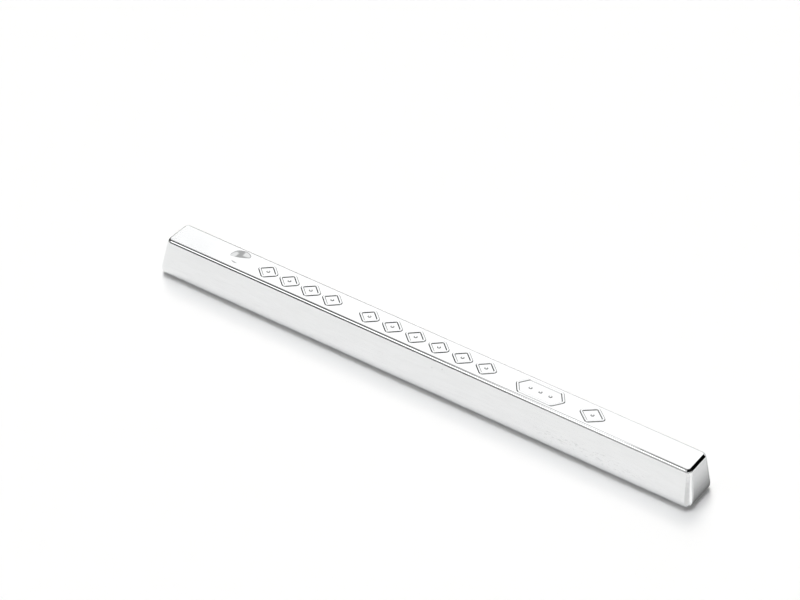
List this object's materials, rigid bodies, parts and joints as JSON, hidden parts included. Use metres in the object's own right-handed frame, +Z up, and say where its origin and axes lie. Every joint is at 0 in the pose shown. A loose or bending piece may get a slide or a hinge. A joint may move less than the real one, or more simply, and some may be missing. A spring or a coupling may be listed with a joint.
{
  "type": "solder bar",
  "caption": "Long cast bar of bright solder with drafted sides and ends, a narrow flat top with a shallow round dish near one end, and a wide flat underside with rounded edges.",
  "frame": {"origin": "middle of the flat wide face, on the floor that the bar lies on", "axes": "+X along the bar away from the dish, +Z up through the narrow face, +Y across the bar"},
  "size_m": [0.3122, 0.0238, 0.0214],
  "materials": {
    "bright_tin": "polished"
  },
  "bodies": {
    "root": {"solder_bar": "bright_tin"}
  },
  "joints": []
}
